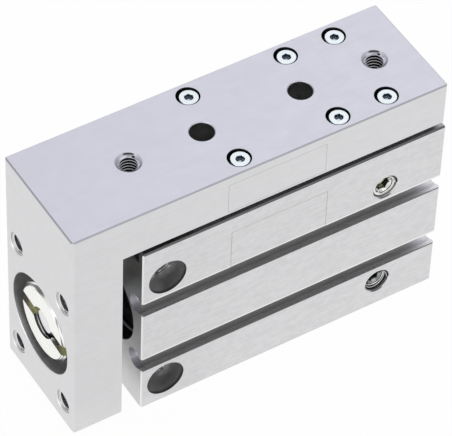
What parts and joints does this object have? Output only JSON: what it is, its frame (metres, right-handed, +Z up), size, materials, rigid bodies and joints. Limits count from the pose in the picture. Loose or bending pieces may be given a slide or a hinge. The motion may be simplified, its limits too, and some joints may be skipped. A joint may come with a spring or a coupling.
{
  "type": "pneumatic slide table",
  "caption": "Narrow pneumatic slide table: L-shaped table and yoke on a ball guide, driven by a round cylinder in a slotted housing.",
  "frame": {"origin": "centre of the bounding box on the housing base", "axes": "+X runs from the yoke to the rear ports, so the slide extends towards -X; -Y is the side with the sensor slots and side holes; +Z is up through the table"},
  "size_m": [0.076, 0.0232, 0.0512],
  "materials": {
    "anodised_aluminium": "fine matt, clear anodised",
    "slide_aluminium": "fine brushed, clear anodised",
    "turned_aluminium": "turned",
    "hardened_steel": "ground",
    "steel_screws": "plain",
    "zinc_plated_steel": "zinc plated",
    "zinc_screws": "bright blue zinc plated",
    "spring_steel": "dark",
    "rod_steel": "polished",
    "nickel_plug": "bright nickel",
    "coupling_nickel": "bright plated",
    "bronze": "turned",
    "cage_brass": "stamped",
    "ball_steel": "polished",
    "seal_rubber": "black",
    "cushion_elastomer": "satin",
    "guide_plastic": "matt",
    "magnet": "matt"
  },
  "bodies": {
    "housing": {"housing": "anodised_aluminium", "guide_block": "hardened_steel", "guide_block_screws": "steel_screws", "guide_dowels": "hardened_steel", "guide_stop_front": "zinc_plated_steel", "guide_stop_rear": "zinc_plated_steel", "guide_stop_screws": "steel_screws", "bearing_cap": "turned_aluminium", "rod_bush": "bronze", "rod_seal": "seal_rubber", "bearing_cap_oring": "seal_rubber", "front_snap_ring": "spring_steel", "front_cushion": "cushion_elastomer", "rear_cushion": "cushion_elastomer", "end_cap": "turned_aluminium", "end_cap_oring": "seal_rubber", "rear_snap_ring": "spring_steel", "upper_port_plug": "nickel_plug", "lower_port_plug": "nickel_plug"},
    "slide": {"slide": "slide_aluminium", "slide_rail_near": "hardened_steel", "slide_rail_far": "hardened_steel", "rail_screws": "zinc_screws", "piston_rod": "rod_steel", "piston_front": "bronze", "piston_rear": "bronze", "piston_magnet": "magnet", "piston_seals": "seal_rubber", "piston_guide_ring": "guide_plastic", "piston_nut": "steel_screws", "coupling_bush": "zinc_plated_steel", "coupling_nut": "coupling_nickel"},
    "cage_near": {"ball_cage_near": "cage_brass", "balls_near": "ball_steel"},
    "cage_far": {"ball_cage_far": "cage_brass", "balls_far": "ball_steel"}
  },
  "joints": [
    {"name": "slide_travel", "type": "slide", "parent": "housing", "child": "slide", "axis": [-1, 0, 0], "range_m": [0, 0.02]},
    {"name": "cage_near_travel", "type": "slide", "parent": "housing", "child": "cage_near", "axis": [-1, 0, 0], "range_m": [0, 0.01]},
    {"name": "cage_far_travel", "type": "slide", "parent": "housing", "child": "cage_far", "axis": [-1, 0, 0], "range_m": [0, 0.01]}
  ],
  "couplings": [
    {"joint": "cage_near_travel", "follows": "slide_travel", "ratio": 0.5},
    {"joint": "cage_far_travel", "follows": "slide_travel", "ratio": 0.5}
  ]
}
